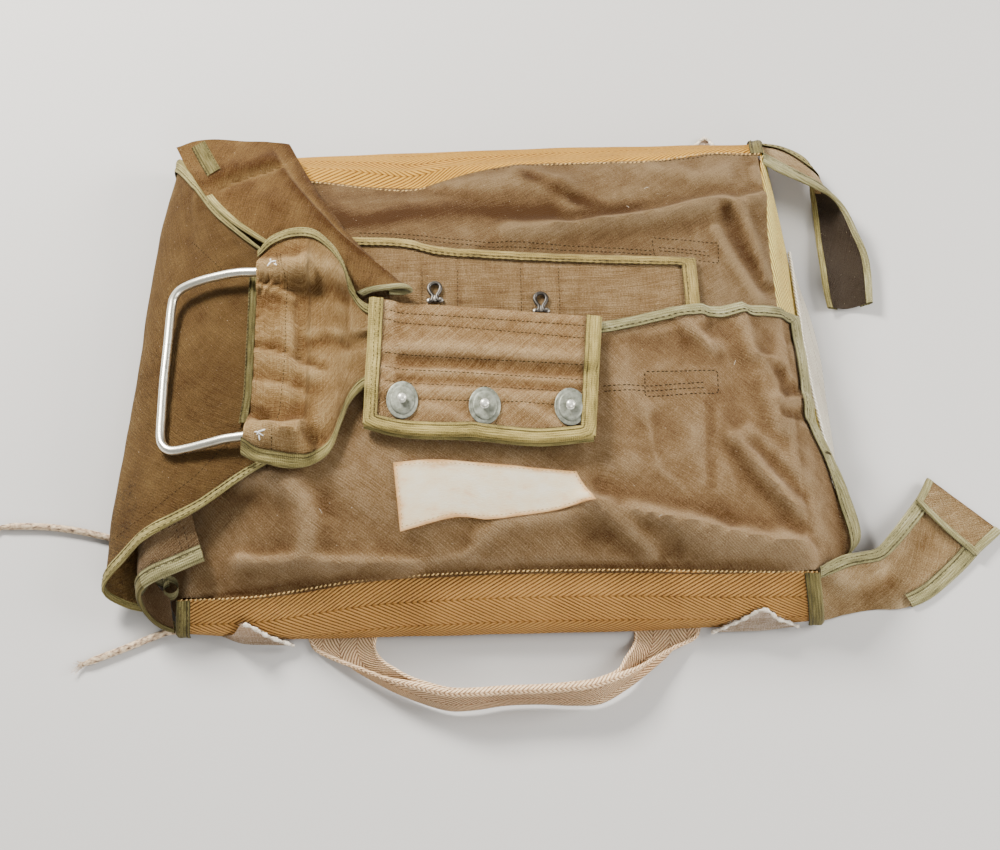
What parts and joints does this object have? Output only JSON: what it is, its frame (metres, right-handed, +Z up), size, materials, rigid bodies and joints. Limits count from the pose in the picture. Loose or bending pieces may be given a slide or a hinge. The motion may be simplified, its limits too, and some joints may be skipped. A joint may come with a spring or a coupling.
{
  "type": "packed parachute",
  "caption": "Chest parachute pack, closed and lying flat: filled canvas tray with webbing walls, overlapping flaps, ripcord handle in its pocket and a folded webbing carrying handle.",
  "frame": {"origin": "centre of the pack body's flat base, on the surface it rests on", "axes": "+X along the pack to the right ears, +Y to the back wall away from the carrying handle, +Z up"},
  "size_m": [0.6551, 0.4288, 0.0952],
  "materials": {
    "canvas": "coarse grey-brown linen canvas, faded and mottled, matte",
    "linen": "lighter tan linen, matte",
    "binding": "woven olive to sage green binding tape, matte",
    "gold_webbing": "golden-tan herringbone webbing, slight sheen",
    "white_webbing": "aged off-white herringbone webbing, matte",
    "steel": "bright drawn steel rod, lightly worn",
    "zinc": "dull grey-green zinc plating",
    "label_cloth": "cream cotton label with stained edges",
    "cord_yarn": "off-white braided cord with dark flecks"
  },
  "bodies": {
    "root": {"back_flap": "canvas", "back_wall": "gold_webbing", "back_wall_right_binding": "binding", "carry_handle": "white_webbing", "cord_lower": "cord_yarn", "cord_upper": "cord_yarn", "corner_flap": "canvas", "corner_flap_binding": "binding", "cover_flap_binding": "binding", "cover_flap_lower": "linen", "cover_flap_upper": "linen", "ear_back_right": "canvas", "ear_back_right_binding": "binding", "ear_front_left": "canvas", "ear_front_left_binding": "binding", "ear_front_right": "canvas", "ear_front_right_high_binding": "binding", "ear_front_right_low_binding": "binding", "front_flap": "canvas", "front_flap_binding": "binding", "front_wall": "gold_webbing", "front_wall_left_binding": "binding", "front_wall_right_binding": "binding", "handle_pocket": "linen", "hook_panel": "linen", "hook_panel_binding": "binding", "label": "label_cloth", "left_flap": "canvas", "left_flap_back_binding": "binding", "left_flap_front_binding": "binding", "pack_body": "canvas", "panel_hook_left": "zinc", "panel_hook_right": "zinc", "pocket_back_binding": "binding", "pocket_front_binding": "binding", "right_wall": "gold_webbing", "ripcord_handle": "steel", "side_strap": "white_webbing", "snap_stud_left": "zinc", "snap_stud_middle": "zinc", "snap_stud_right": "zinc", "strap_corner_back": "white_webbing", "strap_corner_left": "white_webbing", "strap_corner_right": "white_webbing"}
  },
  "joints": []
}
